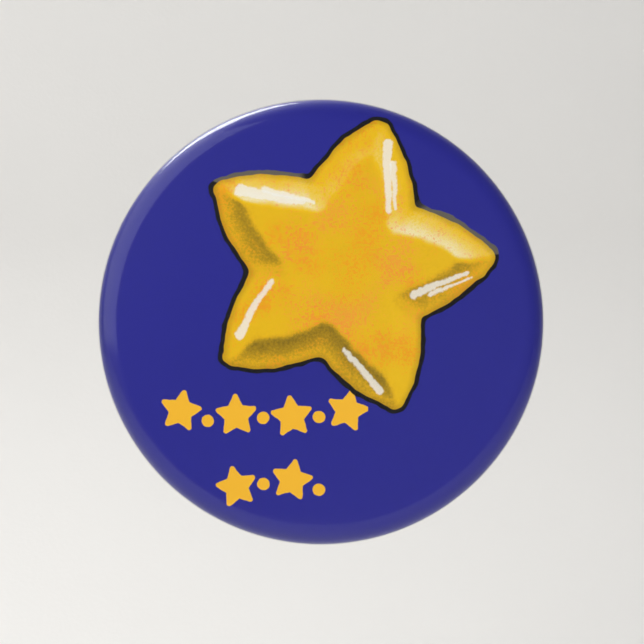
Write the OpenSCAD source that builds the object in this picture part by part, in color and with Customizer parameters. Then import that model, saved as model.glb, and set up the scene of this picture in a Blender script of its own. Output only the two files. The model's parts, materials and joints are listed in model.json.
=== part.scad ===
// Round pin-back button badge, 57 mm (2 1/4 in) across.
// A domed tinplate shell carries a printed paper disc under a clear film. Both are wrapped
// round the shell's rolled rim. A tinplate back plate closes it, and two straps lanced out
// of that plate hold a safety pin of spring wire with a pressed cap.
// Upright, as worn: the face looks along -Y and +Z is up. The origin is the centre of the
// rim's back plane, which lies against the garment.

/* [Badge] */
// Finished diameter over the film
badge_d = 57.15; // [54:0.05:62]
// Depth from the rim's back plane to the top of the dome
badge_depth = 7.6; // [7.2:0.1:8.4]
// Radius of the shallow dome of the face
dome_r = 150; // [130:5:200]
// Radius of the shoulder between the face and the skirt
shoulder_r = 3.6; // [3:0.1:4]
// Radius of the rolled rim
rim_r = 1.2; // [1.1:0.05:1.4]
// Turn of the rolled rim past the back plane, in degrees
rim_turn = 35; // [20:5:45]

/* [Layers] */
// Thickness of the tinplate shell
shell_t = 0.28; // [0.2:0.01:0.3]
// Thickness of the printed paper
paper_t = 0.12; // [0.08:0.01:0.15]
// Thickness of the clear film
film_t = 0.08; // [0.05:0.01:0.1]
// Turn round the shoulder's inside to which paper and film are tucked in, in degrees
tuck_turn = 25; // [5:5:40]

/* [Back plate] */
// Thickness of the back plate
plate_t = 0.3; // [0.25:0.01:0.35]
// Depth of the recessed floor below the rim's back plane
recess = 2.8; // [2.5:0.1:3.2]
// Height of the raised round pad that carries the pin
pad_h = 0.4; // [0.35:0.05:0.5]
// Radius of the raised pad
pad_r = 12.3; // [11:0.1:12.3]
// Width of each strap over the pin
strap_w = 2.4; // [2:0.1:3]
// Distance between the two straps
strap_pitch = 16; // [12:0.5:18]

/* [Safety pin] */
// Diameter of the spring wire
wire_d = 0.8; // [0.7:0.05:0.9]
// Mean radius of the coil
coil_r = 2.2; // [2:0.1:2.4]
// Distance of the coil's centre to the right of the badge's centre
coil_x = 15.5; // [14.5:0.5:16.5]
// Height of the coil's centre above the badge's centre
coil_z = 4; // [3:0.5:6]
// Distance from the coil's centre to the start of the needle's point
needle_l = 28.9; // [27:0.1:30]
// Length of the needle's ground point
point_l = 4; // [3:0.1:4]
// Lean of the pin's plane out from the back plate, in degrees
pin_tilt = 25; // [22:1:31]

/* [Hidden] */
$fn = 64;
REVOLVE_FN = 180;
PRINT_BLUE = [0.176, 0.169, 0.522];
FILM_TINT = [0.85, 0.88, 1, 0.25];
TIN = [0.76, 0.77, 0.78];
STEEL = [0.7, 0.71, 0.73];

// Layers of the front, each by its inset from the film's outer surface
layer_gap = 0.03;
paper_in = film_t + layer_gap;
shell_in = paper_in + paper_t + layer_gap;
shell_mid = shell_in + shell_t / 2;
badge_r = badge_d / 2;
dome_c = [0, badge_depth - dome_r];
shoulder_c = [
    badge_r - shoulder_r,
    dome_c.y + sqrt(pow(dome_r - shoulder_r, 2) - pow(badge_r - shoulder_r, 2))
];
shoulder_a = atan2(shoulder_c.y - dome_c.y, shoulder_c.x);
rim_c = [badge_r - rim_r, rim_r];
rim_end_a = -90 - rim_turn;

// Back plate's section, counted inwards from the badge's edge
land_depth = 0.45;
flange_depth = 1.1;
flange_gap = 0.08;
wall_foot_in = 5;
land_in_in = 4.2;
land_out_in = 2.65;
flange_in = 2.35;
floor_mid = recess + plate_t / 2;
pad_mid = floor_mid - pad_h;
pad_step = 0.6;
bead_h = 0.35;
bead_in = 7.9;
bead_w = 1.7;
bead_slope = 0.5;

// Wire, coil and straps
wire_r = wire_d / 2;
turn_gap = 0.1;
turn_level = wire_r + turn_gap / 2;
turn_sweep = 275;
bow_r = 25;
bow_a = 8;
needle_y = -coil_r * cos(bow_a) - bow_r * (1 - cos(bow_a));
needle_u = (coil_r - bow_r) * sin(bow_a);
point_r = 0.06;
step_r = 0.005;
bow_wire_r = wire_r + step_r;
coil_wire_r = bow_wire_r + step_r;
join_l = 0.1;
strap_gap = 0.04;
strap_mid_r = wire_r + strap_gap + plate_t / 2;
strap_slit = 0.2;
rest_gap = 0.03;
arm_h = wire_r + rest_gap;
coil_h = arm_h + coil_r * sin(pin_tilt) + turn_level * cos(pin_tilt);
coil_y = coil_h - (recess - pad_h);
arm_z = coil_z - coil_r * cos(pin_tilt) + turn_level * sin(pin_tilt);

// Pressed cap, along the pin from the coil's centre and across it
cap_t = 0.3;
cap_mid_r = wire_r + layer_gap + cap_t / 2;
cap_mouth_u = -needle_l - 0.3;
cap_end_u = cap_mouth_u - 5.7;
cap_corner_r = 1.4;
cap_corner_over = 0.1;
cap_fold_flat = 0.04;
cap_needle_room = 0.25;
cap_lip = 1.2;
cap_back_level = -0.45;
cap_front_level = turn_level + wire_r + cap_needle_room + cap_t / 2;
arm_end_u = cap_end_u + cap_t + 0.3;

// ---- Outlines ----

function unit(v) = v / norm(v);
function left_of(v) = [-v.y, v.x];
function reversed(p) = [for (i = [len(p) - 1 : -1 : 0]) p[i]];
function arc(c, r, a0, a1, n) = [
    for (i = [0 : n]) let (a = a0 + (a1 - a0) * i / n) c + r * [cos(a), sin(a)]
];

// Points of the arc that rounds the corner b of the line a-b-c
function corner_arc(a, b, c, r, n = 6) =
    let (
        u = unit([a.x - b.x, a.y - b.y]),
        w = unit([c.x - b.x, c.y - b.y]),
        half = acos(u * w) / 2,
        c0 = [b.x, b.y] + unit(u + w) * r / sin(half),
        start = [b.x, b.y] + u * r / tan(half) - c0,
        a0 = atan2(start.y, start.x),
        turn = (u.x * w.y - u.y * w.x > 0 ? -1 : 1) * (180 - 2 * half)
    )
    arc(c0, r, a0, a0 + turn, n);

// A line through corners given as [x, y, radius], its two ends as [x, y]
function rounded(v) = [
    [v[0].x, v[0].y],
    for (i = [1 : len(v) - 2]) each corner_arc(v[i - 1], v[i], v[i + 1], v[i][2]),
    [v[len(v) - 1].x, v[len(v) - 1].y]
];

// The line moved d to its left
function beside(p, d) = [
    for (i = [0 : len(p) - 1])
        let (
            n0 = left_of(unit(p[max(i, 1)] - p[max(i, 1) - 1])),
            last = min(i, len(p) - 2),
            n1 = left_of(unit(p[last + 1] - p[last])),
            m = unit(n0 + n1)
        )
        p[i] + m * d / (m * n0)
];

// A sheet of thickness t along a line
function ribbon(p, t) = concat(beside(p, t / 2), reversed(beside(p, -t / 2)));

// The front's section at an inset, from the axis to the end of the rolled rim
function front_line(inset) = concat(
    arc(dome_c, dome_r - inset, 90, shoulder_a, 8),
    arc(shoulder_c, shoulder_r - inset, shoulder_a, 0, 12),
    arc(rim_c, rim_r - inset, 0, rim_end_a, 10)
);

// Where a wrapped layer turns round the shell's edge and runs back up inside the skirt
function tuck_line(inset) =
    let (edge = rim_c + (rim_r - shell_mid) * [cos(rim_end_a), sin(rim_end_a)])
    concat(
        arc(edge, shell_mid - inset, rim_end_a, rim_end_a - 180, 6),
        arc(rim_c, rim_r - 2 * shell_mid + inset, rim_end_a, 0, 8),
        arc(shoulder_c, shoulder_r - 2 * shell_mid + inset, 0, tuck_turn, 5)
    );

function wrapped(inset, t) =
    let (inner = inset + t)
    concat(
        front_line(inset),
        tuck_line(inset),
        reversed(tuck_line(inner)),
        reversed(front_line(inner))
    );

// ---- Frames ----

// Turns a section drawn as [radius, depth from the back plane] about the badge's axis
module revolve() rotate([90, 0, 0]) rotate_extrude($fn = REVOLVE_FN) children();

// The pin's frame: origin in the coil, x along the arms to the coil, y from needle to arm,
// z along the coil's axis and out of the back
module pin_frame() translate([coil_x, coil_y, coil_z]) rotate([-90 - pin_tilt, 0, 0]) children();

// Extrudes an outline drawn in the pin frame's y-z plane from u0 to u1 along the pin
module along_pin(u0, u1)
    translate([u0, 0, 0]) rotate([90, 0, 90]) linear_extrude(u1 - u0) children();

// ---- Front ----

module clear_film() color(FILM_TINT) revolve() polygon(wrapped(0, film_t));

module printed_disc() color(PRINT_BLUE) revolve() polygon(wrapped(paper_in, paper_t));

module front_shell()
    color(TIN) revolve()
        polygon(concat(front_line(shell_in), reversed(front_line(shell_in + shell_t))));

// ---- Back plate ----

function plate_line() =
    let (
        foot = badge_r - wall_foot_in,
        bead = badge_r - bead_in,
        flange = flange_depth + plate_t / 2,
        land = land_depth + plate_t / 2
    )
    rounded([
        [0, pad_mid],
        [pad_r, pad_mid, 0.5],
        [pad_r + pad_step, floor_mid, 0.5],
        [bead, floor_mid, 0.5],
        [bead + bead_slope, floor_mid - bead_h, 0.4],
        [bead + bead_w - bead_slope, floor_mid - bead_h, 0.4],
        [bead + bead_w, floor_mid, 0.5],
        [foot, floor_mid, 0.7],
        [badge_r - land_in_in, land, 0.7],
        [badge_r - land_out_in, land, 0.7],
        [badge_r - flange_in, flange, 0.3],
        [badge_r - 2 * shell_mid - flange_gap, flange]
    ]);

// A strap's line across the arm: 45-degree legs out of the pad and a round top
function strap_line() =
    let (peak = arm_h + strap_mid_r * sqrt(2), foot = peak + plate_t / 2)
    rounded([[-foot, -plate_t / 2], [0, peak, strap_mid_r], [foot, -plate_t / 2]]);

// Sits on the pad's outer face under the fixed arm, with y up and z out of the back
module at_strap(x)
    translate([x, pad_h - recess, arm_z]) rotate([-90, 0, 0]) mirror([0, 1, 0]) children();

module strap()
    translate([-strap_w / 2, 0, 0]) rotate([90, 0, 90])
        linear_extrude(strap_w) polygon(ribbon(strap_line(), plate_t));

module strap_window() {
    window = [strap_w + 2 * strap_slit, 2 * (arm_h + strap_mid_r * sqrt(2)), 3 * plate_t];
    translate([0, 0, -plate_t / 2]) cube(window, center = true);
}

module back_plate() {
    strap_x = [-strap_pitch / 2, strap_pitch / 2];
    color(TIN) {
        difference() {
            revolve() polygon(ribbon(plate_line(), plate_t));
            for (x = strap_x) at_strap(x) strap_window();
        }
        for (x = strap_x) at_strap(x) strap();
    }
}

// ---- Safety pin ----

// One turn of the coil, from angle a0 through the sweep
module coil_turn(a0, sweep)
    rotate([0, 0, a0]) rotate_extrude(angle = sweep) translate([coil_r, 0]) circle(coil_wire_r);

module rod(u0, u1, r1, r2) translate([u0, 0, 0]) rotate([0, -90, 0]) cylinder(u0 - u1, r1, r2);

// Where two stretches of wire meet, the end of one runs join_l into the other, which is a
// hair fatter
module pin_base_wire()
    color(STEEL) pin_frame() translate([0, 0, -turn_level]) {
        coil_turn(90 - turn_sweep, turn_sweep);
        translate([0, coil_r, 0]) rod(join_l, arm_end_u, wire_r, wire_r);
    }

module pin_needle() {
    bow_sweep = bow_a + join_l / bow_r * 180 / PI;
    color(STEEL) pin_frame() translate([0, 0, turn_level]) {
        coil_turn(bow_a - 90, turn_sweep);
        translate([needle_u, needle_y + bow_r, 0]) rotate([0, 0, -90])
            rotate_extrude(angle = bow_sweep) translate([bow_r, 0]) circle(bow_wire_r);
        translate([0, needle_y, 0]) {
            rod(needle_u + join_l, -needle_l, wire_r, wire_r);
            rod(-needle_l, -needle_l - point_l, wire_r, point_r);
        }
    }
}

// The cap's section: a back leaf, a fold tight round the fixed arm, and a front leaf over
// the needle
function cap_line() =
    let (
        fold_y = coil_r + cap_mid_r,
        fold_r = cap_mid_r - cap_fold_flat,
        low = -turn_level - cap_mid_r,
        high = -turn_level + cap_mid_r,
        lip_y = needle_y - cap_lip
    )
    rounded([
        [lip_y, cap_back_level],
        [0.3, cap_back_level, 0.6],
        [1.3, low, 0.5],
        [fold_y, low, fold_r],
        [fold_y, high, fold_r],
        [1.1, high, 0.5],
        [-0.4, cap_front_level, 0.6],
        [lip_y + 0.6, cap_front_level, 0.5],
        [lip_y, cap_front_level - 0.12]
    ]);

// The cap seen along the coil's axis, inset from its edge
module cap_outline(inset) {
    corner = cap_corner_r - inset;
    low = needle_y - cap_lip - 1;
    end = cap_end_u + inset;
    top = coil_r + cap_mid_r + cap_t;
    corner_y = needle_y - cap_lip + cap_corner_r - cap_corner_over;
    translate([end + corner, low]) square([-cap_end_u, top - low]);
    translate([end, corner_y]) square([2 * corner, top - cap_corner_r - corner_y]);
    for (y = [corner_y, top - cap_corner_r])
        translate([end + corner, y]) circle(corner);
}

module pin_cap() {
    body = beside(cap_line(), -cap_t / 2);
    hollow = beside(cap_line(), cap_t / 2);
    past = [needle_y - 2 * cap_lip, 0];
    color(STEEL) pin_frame() difference() {
        intersection() {
            along_pin(cap_end_u, cap_mouth_u) polygon(body);
            translate([0, 0, -5]) linear_extrude(10) cap_outline(0);
        }
        intersection() {
            along_pin(cap_end_u, cap_mouth_u + 1)
                polygon(concat(
                    [[past.x, cap_back_level + cap_t / 2]],
                    hollow,
                    [[past.x, hollow[len(hollow) - 1].y]]
                ));
            translate([0, 0, -5]) linear_extrude(10) cap_outline(cap_t);
        }
    }
}

clear_film();
printed_disc();
front_shell();
back_plate();
pin_base_wire();
pin_cap();
pin_needle();
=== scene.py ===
"""A round button badge, upright as it is worn, facing -Y: a printed star on a deep blue
ground under clear film, wrapped over a tin shell, with a pressed tin back and a safety pin.

Sections and paths are in millimetres; meshes, lights and the camera are in metres.
"""

import json
import math
import random

import bpy
from mathutils import Matrix, Vector


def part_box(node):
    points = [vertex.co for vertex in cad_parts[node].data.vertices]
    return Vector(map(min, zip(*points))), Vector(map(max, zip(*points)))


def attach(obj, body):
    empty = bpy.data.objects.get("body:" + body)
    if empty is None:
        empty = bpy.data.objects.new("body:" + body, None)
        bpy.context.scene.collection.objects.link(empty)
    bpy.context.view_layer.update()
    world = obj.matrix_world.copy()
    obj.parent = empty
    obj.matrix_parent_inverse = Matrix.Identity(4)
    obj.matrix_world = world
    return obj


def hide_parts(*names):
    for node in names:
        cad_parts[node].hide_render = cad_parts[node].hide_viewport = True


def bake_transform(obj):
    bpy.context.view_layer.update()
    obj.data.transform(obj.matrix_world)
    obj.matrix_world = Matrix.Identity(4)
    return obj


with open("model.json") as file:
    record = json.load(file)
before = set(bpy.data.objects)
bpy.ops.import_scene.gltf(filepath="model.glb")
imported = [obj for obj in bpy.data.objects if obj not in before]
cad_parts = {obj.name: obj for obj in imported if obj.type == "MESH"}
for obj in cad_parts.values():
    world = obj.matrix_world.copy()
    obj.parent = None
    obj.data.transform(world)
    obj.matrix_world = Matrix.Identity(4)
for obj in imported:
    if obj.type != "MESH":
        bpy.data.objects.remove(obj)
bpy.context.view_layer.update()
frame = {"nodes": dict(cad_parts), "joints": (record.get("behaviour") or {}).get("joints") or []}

# ---- Sizes ----

MM = 0.001
FILM_LOW, FILM_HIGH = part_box("clear_film")
BADGE_R = (FILM_HIGH.x - FILM_LOW.x) / 2 / MM
BADGE_DEPTH = (FILM_HIGH.y - FILM_LOW.y) / MM
HINGE = frame["joints"][0]

DOME_R = 150
SHOULDER_R = 3.6
RIM_R = 1.2
RIM_END = -125

FILM_T = 0.08
PAPER_T = 0.12
SHELL_T = 0.28
LAYER_GAP = 0.03
PAPER_IN = FILM_T + LAYER_GAP
SHELL_IN = PAPER_IN + PAPER_T + LAYER_GAP
SHELL_MID = SHELL_IN + SHELL_T / 2
TUCK_TURN = 25

DOME_STEPS = 40
SHOULDER_STEPS = 24
RIM_STEPS = 20
RIM_GATHER_STEPS = 10
EDGE_STEPS = 10
TUCK_RIM_STEPS = 12
TUCK_SHOULDER_STEPS = 6
WRAP_SEGMENTS = 480
SHELL_SEGMENTS = 360

WIRE_R = 0.4
COIL_R = 2.2
TURN_LEVEL = 0.45
BOW_R = 25
BOW_TURN = 8
NEEDLE_END = -28.9
POINT_L = 4
POINT_R = 0.06
CAP_CLOSED_IN = 0.6
COIL_STEPS = 96
BOW_STEPS = 8
SHANK_STEP = 1
POINT_STEP = 0.2
POINT_TAPER = 0.8
WIRE_SIDES = 24

# ---- Colours, as sRGB ----

INK_BLUE = "#212189"
INK_BLUE_DEEP = "#1f1f84"
AMBER = "#eeb428"
OUTLINE_BLACK = "#0d0b0c"
OUTLINE_GREY = "#6d675c"


def srgb(code):
    """A colour code as linear red, green, blue and alpha."""
    channels = [int(code[i : i + 2], 16) / 255 for i in (1, 3, 5)]
    linear = [c / 12.92 if c < 0.04045 else ((c + 0.055) / 1.055) ** 2.4 for c in channels]
    return (*linear, 1)


# ---- Sections ----


def polar(centre, radius, degrees):
    a = math.radians(degrees)
    return Vector((centre[0] + radius * math.cos(a), centre[1] + radius * math.sin(a)))


def arc(centre, radius, start, end, steps):
    return [polar(centre, radius, start + (end - start) * i / steps) for i in range(steps + 1)]


DOME_C = (0, BADGE_DEPTH - DOME_R)
SHOULDER_C = (
    BADGE_R - SHOULDER_R,
    DOME_C[1] + math.sqrt((DOME_R - SHOULDER_R) ** 2 - (BADGE_R - SHOULDER_R) ** 2),
)
SHOULDER_A = math.degrees(math.atan2(SHOULDER_C[1] - DOME_C[1], SHOULDER_C[0]))
RIM_C = (BADGE_R - RIM_R, RIM_R)


def front_line(inset):
    """The front's section at an inset from the film's surface: dome, shoulder, rolled rim."""
    return (
        arc(DOME_C, DOME_R - inset, 90, SHOULDER_A, DOME_STEPS)
        + arc(SHOULDER_C, SHOULDER_R - inset, SHOULDER_A, 0, SHOULDER_STEPS)[1:]
        + arc(RIM_C, RIM_R - inset, 0, RIM_END, RIM_STEPS)[1:]
    )


def tuck_line(inset):
    """Where a wrapped layer turns round the shell's edge and runs back up inside."""
    edge = polar(RIM_C, RIM_R - SHELL_MID, RIM_END)
    tucked = 2 * SHELL_MID - inset
    return (
        arc(edge, SHELL_MID - inset, RIM_END, RIM_END - 180, EDGE_STEPS)[1:]
        + arc(RIM_C, RIM_R - tucked, RIM_END, 0, TUCK_RIM_STEPS)[1:]
        + arc(SHOULDER_C, SHOULDER_R - tucked, 0, TUCK_TURN, TUCK_SHOULDER_STEPS)[1:]
    )


def ease(value, low, high):
    """0 below low, 1 above high, and a smooth rise between them."""
    t = min(max((value - low) / (high - low), 0), 1)
    return t * t * (3 - 2 * t)


# ---- Meshes ----


def new_piece(name, verts, faces, material, body):
    """A smooth-shaded piece that rides on a CAD body. Points are in millimetres."""
    mesh = bpy.data.meshes.new(name)
    mesh.from_pydata([Vector(v) * MM for v in verts], [], faces)
    mesh.shade_smooth()
    mesh.materials.append(material)
    mesh.validate()
    piece = bpy.data.objects.new(name, mesh)
    bpy.context.scene.collection.objects.link(piece)
    if body:
        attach(piece, body)
    return piece


def turned(rings, segments):
    """Verts and faces of a closed section turned about the badge's axis.

    rings holds one function per section point, from a segment's number to (radius, depth).
    """
    verts, starts = [], []
    for ring in rings:
        starts.append(len(verts))
        radius, depth = ring(0)
        if radius < 1e-6:
            verts.append((0, -depth, 0))
            continue
        for i in range(segments):
            radius, depth = ring(i)
            a = 2 * math.pi * i / segments
            verts.append((radius * math.cos(a), -depth, radius * math.sin(a)))
    sizes = [b - a for a, b in zip(starts, starts[1:] + [len(verts)])]
    faces = []
    for j, start in enumerate(starts):
        k = (j + 1) % len(starts)
        if sizes[j] == 1 and sizes[k] == 1:
            continue
        for i in range(segments):
            n = (i + 1) % segments
            here = [start] if sizes[j] == 1 else [start + n, start + i]
            there = [starts[k]] if sizes[k] == 1 else [starts[k] + i, starts[k] + n]
            faces.append(here + there)
    return verts, faces


# Pleats of the gathered rim: their number, greatest height in mm, and width in segments
PLEATS = 118
PLEAT_HEIGHT = 0.09
PLEAT_WIDTH = 1.1
PLEAT_SEED = 7


def pleat_heights():
    """How far the gathered film and paper stand off the shell at each segment round the rim."""
    draw = random.Random(PLEAT_SEED)
    heights = [0.0] * WRAP_SEGMENTS
    for i in range(PLEATS):
        centre = (i + draw.uniform(-0.3, 0.3)) * WRAP_SEGMENTS / PLEATS
        width = draw.uniform(0.6, 1) * PLEAT_WIDTH
        height = draw.uniform(0.3, 1) * PLEAT_HEIGHT
        for near in range(int(centre) - 4, int(centre) + 6):
            heights[near % WRAP_SEGMENTS] += height * math.exp(-(((near - centre) / width) ** 2))
    return heights


def wrapped_sheet(name, inset, thickness, pleats, material):
    """Film or paper over the front, gathered in pleats where it rolls round the rim."""
    outer = front_line(inset) + tuck_line(inset)
    inner = front_line(inset + thickness) + tuck_line(inset + thickness)
    rim_start = len(front_line(inset)) - RIM_STEPS

    def ring(i, side):
        normal = (outer[i] - inner[i]).normalized()
        gathered = ease(i, rim_start, rim_start + RIM_GATHER_STEPS)

        def at(segment):
            return tuple(side[i] + normal * pleats[segment] * gathered)

        return at

    count = len(outer)
    rings = [ring(i, outer) for i in range(count)]
    rings += [ring(i, inner) for i in reversed(range(count))]
    verts, faces = turned(rings, WRAP_SEGMENTS)
    return new_piece(name, verts, faces, material, "badge")


def tin_shell(material):
    """The pressed front shell, which carries film and paper."""
    outer = front_line(SHELL_IN)
    inner = front_line(SHELL_IN + SHELL_T)
    section = outer + list(reversed(inner))
    verts, faces = turned([lambda _, p=p: tuple(p) for p in section], SHELL_SEGMENTS)
    piece = new_piece("tin_shell", verts, faces, material, "badge")
    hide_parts("front_shell")
    return piece


# ---- Safety pin ----


def pin_frame():
    """The pin's own frame: origin in the coil, z along the hinge, y from needle to arm."""
    z = Vector(HINGE["axis"])
    x = Vector((1, 0, 0))
    y = z.cross(x)
    axes = Matrix((x, y, z)).transposed().to_4x4()
    return Matrix.Translation(Vector(HINGE["pos_m"]) / MM) @ axes


PIN = pin_frame()


def along(start, end, step):
    """Points on a straight line, about a step apart, without the first."""
    count = max(1, round((end - start).length / step))
    return [start.lerp(end, i / count) for i in range(1, count + 1)]


def wire_path():
    """The wire's centre line in the pin's frame, and its radius at each point."""
    arm_end = (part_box("pin_cap")[0].x / MM) - PIN.translation.x + CAP_CLOSED_IN
    points = [Vector((arm_end, COIL_R, -TURN_LEVEL))]
    points += along(points[0], Vector((0, COIL_R, -TURN_LEVEL)), SHANK_STEP)
    coil_end = -360 - 90 + BOW_TURN
    for i in range(1, COIL_STEPS + 1):
        a = 90 + (coil_end - 90) * i / COIL_STEPS
        level = -TURN_LEVEL + 2 * TURN_LEVEL * ease(-a, 90, 270)
        points.append(polar((0, 0), COIL_R, a).to_3d() + Vector((0, 0, level)))
    bow_turn = math.radians(BOW_TURN)
    needle_y = -COIL_R * math.cos(bow_turn) - BOW_R * (1 - math.cos(bow_turn))
    bow_c = ((COIL_R - BOW_R) * math.sin(bow_turn), needle_y + BOW_R)
    for p in arc(bow_c, BOW_R, BOW_TURN - 90, -90, BOW_STEPS)[1:]:
        points.append(p.to_3d() + Vector((0, 0, TURN_LEVEL)))
    shank_end = Vector((NEEDLE_END, needle_y, TURN_LEVEL))
    points += along(points[-1], shank_end, SHANK_STEP)
    radii = [WIRE_R] * len(points)
    tip = shank_end - Vector((POINT_L, 0, 0))
    for p in along(shank_end, tip, POINT_STEP):
        left = (p - tip).length / POINT_L
        points.append(p)
        radii.append(POINT_R + (WIRE_R - POINT_R) * left**POINT_TAPER)
    return points, radii


def safety_pin_wire(material):
    """One length of wire: fixed arm, coil and needle."""
    points, radii = wire_path()
    verts, faces, lengths = [], [], []
    run = 0
    for i, p in enumerate(points):
        ahead = points[min(i + 1, len(points) - 1)] - points[max(i - 1, 0)]
        forward = ahead.normalized()
        up = (Vector((0, 0, 1)) - forward * forward.z).normalized()
        side = forward.cross(up)
        run += (p - points[max(i - 1, 0)]).length
        for k in range(WIRE_SIDES):
            a = 2 * math.pi * k / WIRE_SIDES
            verts.append(PIN @ (p + (side * math.cos(a) + up * math.sin(a)) * radii[i]))
            lengths.append(run)
    for i in range(len(points) - 1):
        for k in range(WIRE_SIDES):
            n = (k + 1) % WIRE_SIDES
            a, b = i * WIRE_SIDES, (i + 1) * WIRE_SIDES
            faces.append((a + k, a + n, b + n, b + k))
    faces.append(tuple(reversed(range(WIRE_SIDES))))
    last = (len(points) - 1) * WIRE_SIDES
    faces.append(tuple(last + k for k in range(WIRE_SIDES)))
    piece = new_piece("safety_pin_wire", verts, faces, material, None)
    attribute = piece.data.attributes.new("wire_length", "FLOAT", "POINT")
    attribute.data.foreach_set("value", lengths)
    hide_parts("pin_base_wire", "pin_needle")
    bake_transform(piece)
    return piece


WELD_WITHIN = 0.002
BEVEL_ABOVE = 40
BEVEL_SEGMENTS = 2
PLATE_BEVEL = 0.04
CAP_BEVEL = 0.06


def carried_over(node, material, bevel):
    """A CAD node kept as it is, with its edges broken and its own material."""
    piece = frame["nodes"][node]
    for s in piece.material_slots:
        s.material = material
    weld = piece.modifiers.new("weld", "WELD")
    weld.merge_threshold = WELD_WITHIN * MM
    edges = piece.modifiers.new("edges", "BEVEL")
    edges.width = bevel * MM
    edges.segments = BEVEL_SEGMENTS
    edges.limit_method = "ANGLE"
    edges.angle_limit = math.radians(BEVEL_ABOVE)
    edges.harden_normals = True
    return piece


# ---- Materials: numbers and colours worked out by nodes ----


class Num:
    """A number in a material. Arithmetic on it adds Math nodes."""

    def __init__(self, tree, socket):
        self.tree = tree
        self.socket = socket

    def math(self, operation, *others):
        node = self.tree.nodes.new("ShaderNodeMath")
        node.operation = operation
        for value, socket in zip((self, *others), node.inputs):
            feed(value, socket)
        return Num(self.tree, node.outputs[0])

    def __add__(self, other):
        return self.math("ADD", other)

    __radd__ = __add__

    def __sub__(self, other):
        return self.math("SUBTRACT", other)

    def __rsub__(self, other):
        return self.math("MULTIPLY_ADD", -1, other)

    def __mul__(self, other):
        return self.math("MULTIPLY", other)

    __rmul__ = __mul__

    def __truediv__(self, other):
        return self.math("DIVIDE", other)

    def __abs__(self):
        return self.math("ABSOLUTE")

    def low(self, other):
        return self.math("MINIMUM", other)

    def high(self, other):
        return self.math("MAXIMUM", other)

    def root(self):
        return self.math("SQRT")

    def cos(self):
        return self.math("COSINE")

    def sin(self):
        return self.math("SINE")

    def ramp(self, start, end):
        """0 at start and 1 at end, smooth between them. start may be above end."""
        node = self.tree.nodes.new("ShaderNodeMapRange")
        node.interpolation_type = "SMOOTHSTEP"
        feed(self, node.inputs["Value"])
        node.inputs["From Min"].default_value = min(start, end)
        node.inputs["From Max"].default_value = max(start, end)
        node.inputs["To Min"].default_value = 0 if start < end else 1
        node.inputs["To Max"].default_value = 1 if start < end else 0
        return Num(self.tree, node.outputs["Result"])


def feed(value, socket):
    """Links a Num or a socket, or sets a plain value."""
    if isinstance(value, Num):
        value = value.socket
    if isinstance(value, bpy.types.NodeSocket):
        value.node.id_data.links.new(value, socket)
    else:
        socket.default_value = value


def between(fac, a, b):
    """The number fac of the way from a to b."""
    return a + (b - a) * fac


def colour_mix(fac, a, b):
    """The colour fac of the way from a to b."""
    node = fac.tree.nodes.new("ShaderNodeMix")
    node.data_type = "RGBA"
    feed(fac, node.inputs[0])
    feed(a, node.inputs[6])
    feed(b, node.inputs[7])
    return node.outputs[2]


class Surface:
    """A material under construction, with the piece's own coordinates in millimetres."""

    def __init__(self, name):
        self.material = bpy.data.materials.new(name)
        self.material.use_nodes = True
        self.tree = self.material.node_tree
        self.tree.nodes.clear()
        self.output = self.node("ShaderNodeOutputMaterial")
        coords = self.node("ShaderNodeTexCoord")
        scale = self.node("ShaderNodeVectorMath")
        scale.operation = "SCALE"
        scale.inputs["Scale"].default_value = 1 / MM
        self.link(coords.outputs["Object"], scale.inputs[0])
        self.place = scale.outputs[0]
        split = self.node("ShaderNodeSeparateXYZ")
        self.link(self.place, split.inputs[0])
        self.x, self.y, self.z = (Num(self.tree, s) for s in split.outputs)

    def node(self, kind):
        return self.tree.nodes.new(kind)

    def link(self, a, b):
        self.tree.links.new(a, b)

    def principled(self, **values):
        """Adds the shader. Values are sockets by name, with _ for a space."""
        shader = self.node("ShaderNodeBsdfPrincipled")
        for key, value in values.items():
            feed(value, shader.inputs[key.replace("_", " ")])
        self.link(shader.outputs["BSDF"], self.output.inputs["Surface"])
        return shader

    def noise(self, size, detail=2, stretch=(1, 1, 1), place=None, shift=0):
        """Noise from 0 to 1 with features of about size millimetres, longer where stretched."""
        mapping = self.node("ShaderNodeMapping")
        mapping.inputs["Location"].default_value = (shift, shift * 0.7, shift * 1.3)
        mapping.inputs["Scale"].default_value = [1 / (size * s) for s in stretch]
        self.link(place or self.place, mapping.inputs["Vector"])
        texture = self.node("ShaderNodeTexNoise")
        texture.inputs["Scale"].default_value = 1
        texture.inputs["Detail"].default_value = detail
        self.link(mapping.outputs[0], texture.inputs["Vector"])
        return Num(self.tree, texture.outputs[0])

    def colours(self, fac, stops):
        """A colour ramp of (position, sRGB code) stops."""
        node = self.node("ShaderNodeValToRGB")
        feed(fac, node.inputs[0])
        elements = node.color_ramp.elements
        while len(elements) < len(stops):
            elements.new(0.5)
        for element, (position, code) in zip(elements, stops):
            element.position = position
            element.color = srgb(code)
        return node.outputs[0]

    def shaded(self, colour, value):
        """The colour with its brightness multiplied."""
        node = self.node("ShaderNodeHueSaturation")
        feed(value, node.inputs["Value"])
        feed(colour, node.inputs["Color"])
        return node.outputs[0]

    def bump(self, height, depth):
        """A normal from a height of 0 to 1, worth depth millimetres."""
        node = self.node("ShaderNodeBump")
        node.inputs["Distance"].default_value = depth * MM
        feed(height, node.inputs["Height"])
        return node.outputs[0]


# ---- The print ----

# The big star: its centre, radii of tips and valleys, turn of its first tip in degrees,
# corner radius, swell of its sides, and the direction its painted light comes from
STAR_X = 2.8
STAR_Z = 7.0
STAR_OUTER = 20.0
STAR_INNER = 11.0
STAR_TIP = 3.4
STAR_ROUND = 1.4
STAR_BULGE = 0.9
STAR_LIGHT = 72
FIFTH = 72


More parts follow.
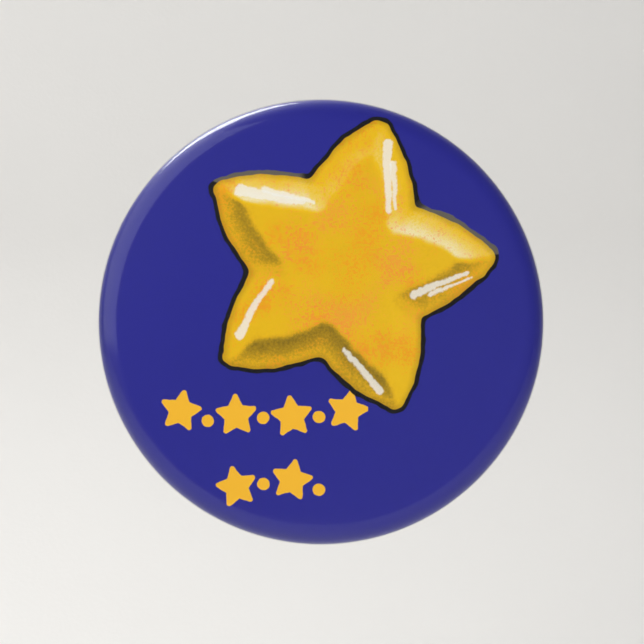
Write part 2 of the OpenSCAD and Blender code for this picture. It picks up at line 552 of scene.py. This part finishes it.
class Star:
    """Distances and angles of a five-armed star round a place in the print, in millimetres."""

    def __init__(self, x, z, outer, inner, tip, rounding, bulge=0):
        fifth = math.radians(FIFTH)
        self.radius = (x * x + z * z).root()
        angle = z.math("ARCTAN2", x) - math.radians(tip)
        self.arm = (angle / fifth).math("ROUND")
        self.off = angle - self.arm * fifth
        folded = fifth / 2 - ((fifth / 2 - abs(self.off)).math("POWER", 2) + 0.002).root()
        along_arm = self.radius * folded.cos()
        across = self.radius * folded.sin()
        tip_at = outer - rounding * 1.6
        corner_at = inner - rounding
        e = Vector((corner_at * math.cos(fifth / 2) - tip_at, corner_at * math.sin(fifth / 2)))
        out = Vector((e.y, -e.x)).normalized()
        self.facet = math.atan2(out.y, out.x)
        u, v = along_arm - tip_at, across
        share = ((u * e.x + v * e.y) / e.length_squared).high(0).low(1)
        du, dv = u - share * e.x, v - share * e.y
        side = (u * out.x + v * out.y).math("SIGN")
        swell = share * (1 - share) * (4 * bulge)
        self.edge = (du * du + dv * dv).root() * side - rounding - swell


def capsule(x, z, start, end, radius):
    """Signed distance to a round-ended stroke in the print."""
    (ax, az), (bx, bz) = start, end
    dx, dz = bx - ax, bz - az
    u, v = x - ax, z - az
    share = ((u * dx + v * dz) / (dx * dx + dz * dz)).high(0).low(1)
    du, dv = u - share * dx, v - share * dz
    taper = 1 - share * 0.45
    return (du * du + dv * dv).root() - taper * radius


STAR_SHADES = [
    (0.0, "#7d6304"),
    (0.2, "#a98604"),
    (0.36, "#d6a602"),
    (0.5, "#e0b200"),
    (0.68, "#e6b906"),
    (0.84, "#e8ca5c"),
    (1.0, "#eadba4"),
]

# Brush strokes: the arm's number, then start and end as (along, across) the arm, and radius
STROKES = [
    (2, (16.2, -1.0), (8.8, -3.9), 0.7),
    (2, (13.6, -2.8), (7.6, -4.6), 0.4),
    (1, (16.2, -1.5), (8.2, -3.7), 0.66),
    (1, (14.2, -2.9), (8.6, -4.5), 0.4),
    (0, (8.6, -4.1), (15.6, -1.6), 0.5),
    (0, (10.6, -4.2), (16.0, -2.4), 0.3),
    (3, (15.6, -1.7), (8.2, -4.4), 0.6),
    (4, (16.2, -1.4), (9.8, -3.8), 0.55),
]


def star_paint(surface, x, z):
    """The star's colour and the masks of its fill and its outline.

    A flat golden face with bevels towards the edge: pale where they face the light, olive
    where they face away, and stippled all over.
    """
    star = Star(x, z, STAR_OUTER, STAR_INNER, STAR_TIP, STAR_ROUND, STAR_BULGE)
    inside = star.edge * -1
    turn = star.arm * math.radians(FIFTH) + math.radians(STAR_TIP - STAR_LIGHT)
    from_valley = star.radius * (math.radians(FIFTH / 2) - abs(star.off)).sin()
    near_valley = from_valley.ramp(1.5, 0) * 0.5
    neighbour = math.radians(FIFTH) - star.facet
    lit = [
        between(near_valley, (turn + s * star.facet).cos(), (turn + s * neighbour).cos())
        for s in (-1, 1)
    ]
    ridge = (star.radius * star.off.sin()).ramp(-0.6, 0.6)
    light = between(ridge, *lit)
    bevel = (inside + (surface.noise(2.5, 2, shift=7) - 0.5) * 0.8).ramp(4.3, 3.1)
    bevel = bevel * (inside.ramp(0.2, 3.4) * 0.6 + 0.4)
    wash = surface.noise(3.6, 3, shift=3)
    stipple = surface.noise(0.3, 2, shift=1) - 0.5
    shade = bevel * light * 0.5 + 0.52 + (wash - 0.5) * 0.16 + stipple * 0.34
    colour = surface.colours(shade, STAR_SHADES)
    orange = (surface.noise(5.2, 3, shift=11) + stipple * 0.9).ramp(0.46, 0.76)
    colour = colour_mix(orange * shade.ramp(0.1, 0.5) * 0.7, colour, srgb("#e8900c"))
    blush_ring = star.radius.ramp(3, 6) * star.radius.ramp(13, 9)
    blush = (surface.noise(5.5, 2, shift=23) + stipple * 0.9).ramp(0.46, 0.72) * blush_ring
    colour = colour_mix(blush * shade.ramp(0.3, 0.55) * 0.5, colour, srgb("#ee8440"))
    rough_edge = (surface.noise(0.5, 3, shift=2) - 0.5) * 0.55
    for arm, (a0, b0), (a1, b1), radius in STROKES:
        angle = math.radians(STAR_TIP + FIFTH * arm)
        c, s = math.cos(angle), math.sin(angle)
        start, end = ((a * c - b * s, a * s + b * c) for a, b in ((a0, b0), (a1, b1)))
        mark = (capsule(x, z, start, end, radius) + rough_edge).ramp(0.12, -0.15)
        colour = colour_mix(mark * 0.74, colour, srgb("#edeae0"))
    colour = colour_mix(inside.ramp(0.9, 0) * 0.35, colour, srgb("#7a5a08"))
    width = (surface.noise(1.6, 2, shift=9) - 0.5) * 0.4 + 0.55
    line = colour_mix(light.ramp(0.7, 0.98) * 0.75, srgb(OUTLINE_BLACK), srgb(OUTLINE_GREY))
    return colour, star.edge.ramp(0.05, -0.05), line, (star.edge - width).ramp(0.05, -0.06)


# Where the star stops on its way round the rim: depths in y, from none of it to all of it
ART_ENDS = (-1.5, -2.5)

# Rows of small marks: left edge, right edge, middle height
MARK_ROWS = [(-20.4, 5.9, -11.6), (-13.4, 0.55, -20.3)]
MARK_PAIR = 7
MARK_STAR_AT = 2.75
MARK_DOT_AT = 6.15
MARK_STAR = 2.85
MARK_DOT = 0.78


def mark_row(surface, left, right, middle):
    """A row of hand-cut stars with dots between them."""
    cell = (surface.x - left) / MARK_PAIR
    number = cell.math("FLOOR")
    sway = (number * 2.4 + middle).sin()
    along_cell = (cell - number) * MARK_PAIR
    x, z = along_cell - MARK_STAR_AT, surface.z - middle - sway * 0.5
    turn = sway * 0.22
    across, up = x * turn.cos() - z * turn.sin(), x * turn.sin() + z * turn.cos()
    star = Star(across, up, MARK_STAR, MARK_STAR * 0.52, 90, 0.3).edge
    u, v = along_cell - MARK_DOT_AT, z + sway * 0.9 + 0.5
    dot = (u * u + v * v).root() - MARK_DOT
    wobble = (surface.noise(0.8, 2, shift=31) - 0.5) * 0.2
    in_row = surface.x.ramp(left - 0.01, left) * surface.x.ramp(right + 0.01, right)
    return (star.low(dot) + wobble).ramp(0.06, -0.06) * in_row


def print_material():
    """Ink on smooth paper: a blue ground, a painted star and two rows of amber marks."""
    s = Surface("print_ink")
    wave_x = (s.noise(4, 2, shift=41) - 0.5) * 1.1
    wave_z = (s.noise(4, 2, shift=57) - 0.5) * 1.1
    x, z = s.x - STAR_X + wave_x, s.z - STAR_Z + wave_z
    colour = colour_mix(s.noise(16, 3), srgb(INK_BLUE), srgb(INK_BLUE_DEEP))
    grain = s.noise(0.16, 2, shift=17)
    colour = s.shaded(colour, 0.94 + grain * 0.12)
    for row in MARK_ROWS:
        colour = colour_mix(mark_row(s, *row), colour, srgb(AMBER))
    fill, fill_mask, line, line_mask = star_paint(s, x, z)
    front = s.y.ramp(*ART_ENDS)
    colour = colour_mix(line_mask * front, colour, line)
    colour = colour_mix(fill_mask * front, colour, fill)
    fibre = s.noise(0.9, 4, stretch=(1.6, 1, 0.7), shift=8)
    s.principled(
        Base_Color=colour,
        Roughness=0.42 + fibre * 0.12,
        Specular_IOR_Level=0.25,
        Normal=s.bump(fibre, 0.0015),
    )
    return s.material


# ---- Film, tin and wire ----

# Share of light that the film reflects, seen square on and at a grazing angle
FILM_SQUARE = 0.034
FILM_GRAZING = 0.9


def film_material():
    """Clear gloss film: only its reflections show, softened by faint rubs and waviness."""
    s = Surface("film_gloss")
    clear = s.node("ShaderNodeBsdfTransparent")
    gloss = s.node("ShaderNodeBsdfGlossy")
    rub = s.noise(2.2, 4, shift=4)
    feed(0.08 + rub * 0.1, gloss.inputs["Roughness"])
    peel = s.noise(3.2, 2, shift=6)
    scratch = s.noise(0.12, 2, stretch=(40, 1, 3), shift=12).ramp(0.7, 0.76)
    normal = s.bump(peel - scratch * 0.1, 0.002)
    feed(normal, gloss.inputs["Normal"])
    facing = s.node("ShaderNodeLayerWeight")
    facing.inputs["Blend"].default_value = 0.5
    grazing = Num(s.tree, facing.outputs["Facing"]).math("POWER", 5)
    mix = s.node("ShaderNodeMixShader")
    feed(between(grazing, FILM_SQUARE, FILM_GRAZING), mix.inputs[0])
    s.link(clear.outputs[0], mix.inputs[1])
    s.link(gloss.outputs[0], mix.inputs[2])
    s.link(mix.outputs[0], s.output.inputs["Surface"])
    return s.material


def inner_film_material():
    """The film's inner face, which adds no reflection of its own."""
    s = Surface("film_inside")
    clear = s.node("ShaderNodeBsdfTransparent")
    s.link(clear.outputs[0], s.output.inputs["Surface"])
    return s.material


def tin_material():
    """Bright rolled tinplate: streaks from the rolls, stains, and fine scratches."""
    s = Surface("tinplate")
    streak = s.noise(0.28, 3, stretch=(60, 1, 1), shift=3)
    stain = s.noise(6, 4, shift=14)
    scratch = s.noise(0.16, 2, stretch=(1.4, 1, 50), shift=27).ramp(0.68, 0.75)
    scratch = scratch.high(s.noise(0.18, 2, stretch=(30, 1, 2), shift=35).ramp(0.7, 0.76))
    colour = colour_mix(stain.ramp(0.35, 0.75), srgb("#e0e1e2"), srgb("#d2d3d2"))
    spot = s.noise(1.1, 4, shift=52).ramp(0.66, 0.74)
    colour = colour_mix(spot * 0.25, colour, srgb("#a9a49a"))
    colour = s.shaded(colour, 0.94 + streak * 0.14)
    s.principled(
        Base_Color=colour,
        Metallic=1,
        Roughness=0.12 + streak * 0.14 + stain * 0.06 + spot * 0.15 + scratch * 0.12,
        Normal=s.bump(streak * 0.6 - scratch * 0.4, 0.003),
    )
    return s.material


def nickel_material(name, grain_size, stretch, worn):
    """Nickel plating over steel, with a fine grain and darker, rougher worn patches."""
    s = Surface(name)
    grain = s.noise(grain_size, 2, stretch=stretch, shift=2)
    patch = s.noise(1.8, 4, shift=19).ramp(0.52, 0.7)
    colour = colour_mix(patch * worn, srgb("#d9d8d4"), srgb("#b3ada3"))
    s.principled(
        Base_Color=colour,
        Metallic=1,
        Roughness=0.16 + grain * 0.14 + patch * (0.2 * worn),
        Normal=s.bump(grain, 0.003),
    )
    return s.material


def stage_material(name, code):
    """Plain pale paper for the floor and backdrop."""
    s = Surface(name)
    tooth = s.noise(1.3, 4)
    colour = s.shaded(srgb(code), 0.98 + s.noise(60, 2) * 0.04)
    s.principled(Base_Color=colour, Roughness=0.85, Normal=s.bump(tooth, 0.05))
    return s.material


# ---- Stage, lights and camera ----

FLOOR_Z = FILM_LOW.z - 0.1
VIEW_HALF = 41.63 * MM
CAMERA_BACK = 0.23
CAMERA_X = 0.13 * MM
SENSOR = 36
SWEEP_BACK = 0.36
SWEEP_FRONT = -0.2
SWEEP_RADIUS = 0.16
SWEEP_HEIGHT = 1.2
SWEEP_HALF = 1.2
SWEEP_STEPS = 32
ROOM_COLOUR = (0.93, 0.95, 1, 1)
ROOM_STRENGTH = 0.24


def sweep():
    """A pale floor that curves up into a backdrop behind the badge."""
    curve = arc((SWEEP_BACK - SWEEP_RADIUS, SWEEP_RADIUS), SWEEP_RADIUS, -90, 0, SWEEP_STEPS)
    profile = [Vector((SWEEP_FRONT, 0)), *curve, Vector((SWEEP_BACK, SWEEP_HEIGHT))]
    verts = [(x, p.x, FLOOR_Z + p.y) for p in profile for x in (-SWEEP_HALF, SWEEP_HALF)]
    faces = [(2 * i, 2 * i + 1, 2 * i + 3, 2 * i + 2) for i in range(len(profile) - 1)]
    mesh = bpy.data.meshes.new("sweep")
    mesh.from_pydata(verts, [], faces)
    mesh.shade_smooth()
    mesh.materials.append(stage_material("stage_paper", "#e7e5e1"))
    stage = bpy.data.objects.new("sweep", mesh)
    bpy.context.scene.collection.objects.link(stage)


def area_light(name, place, size, power, glossy=True, diffuse=True):
    """A square soft light, aimed at the badge, that can be left out of gloss or of matt light."""
    data = bpy.data.lights.new(name, "AREA")
    data.shape = "SQUARE"
    data.size = size
    data.energy = power
    light = bpy.data.objects.new(name, data)
    light.location = place
    light.rotation_euler = (-Vector(place)).to_track_quat("-Z", "Y").to_euler()
    light.visible_glossy = glossy
    light.visible_diffuse = diffuse
    bpy.context.scene.collection.objects.link(light)


def studio():
    """Soft key from the upper left, a broad fill, a card for the gloss, and a dim room."""
    area_light("key", (-0.26, -0.5, 0.3), 0.3, 2.4, glossy=False)
    area_light("fill", (0.3, -0.5, -0.1), 0.7, 2.0, glossy=False)
    area_light("side_card", (-0.5, -0.2, 0.28), 0.8, 2.8, diffuse=False)
    area_light("rear", (-0.25, 0.3, 0.5), 0.3, 3.4)
    world = bpy.data.worlds.new("room")
    world.use_nodes = True
    background = world.node_tree.nodes["Background"]
    background.inputs["Color"].default_value = ROOM_COLOUR
    background.inputs["Strength"].default_value = ROOM_STRENGTH
    bpy.context.scene.world = world
    bpy.context.scene.view_settings.view_transform = "Standard"


def camera():
    """Square on to the badge's face."""
    data = bpy.data.cameras.new("camera")
    data.sensor_width = SENSOR
    data.lens = SENSOR / 2 * CAMERA_BACK / VIEW_HALF
    data.clip_start = 0.01
    cam = bpy.data.objects.new("camera", data)
    cam.location = (CAMERA_X, -CAMERA_BACK, 0)
    cam.rotation_euler = (math.radians(90), 0, 0)
    bpy.context.scene.collection.objects.link(cam)
    bpy.context.scene.camera = cam


# ---- Assembly ----


def build():
    pleats = pleat_heights()
    film = wrapped_sheet("film_cover", 0, FILM_T, pleats, film_material())
    film.data.materials.append(inner_film_material())
    half = len(film.data.polygons) // 2
    for polygon in film.data.polygons[half:]:
        polygon.material_index = 1
    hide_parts("clear_film")
    paper = wrapped_sheet("paper_print", PAPER_IN, PAPER_T, pleats, print_material())
    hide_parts("printed_disc")
    tin = tin_material()
    tin_shell(tin)
    carried_over("back_plate", tin, PLATE_BEVEL)
    cap = nickel_material("cap_nickel", 0.2, (8, 1, 1), 0.6)
    carried_over("pin_cap", cap, CAP_BEVEL)
    safety_pin_wire(nickel_material("wire_nickel", 0.08, (30, 1, 1), 0.4))


build()
sweep()
studio()
camera()
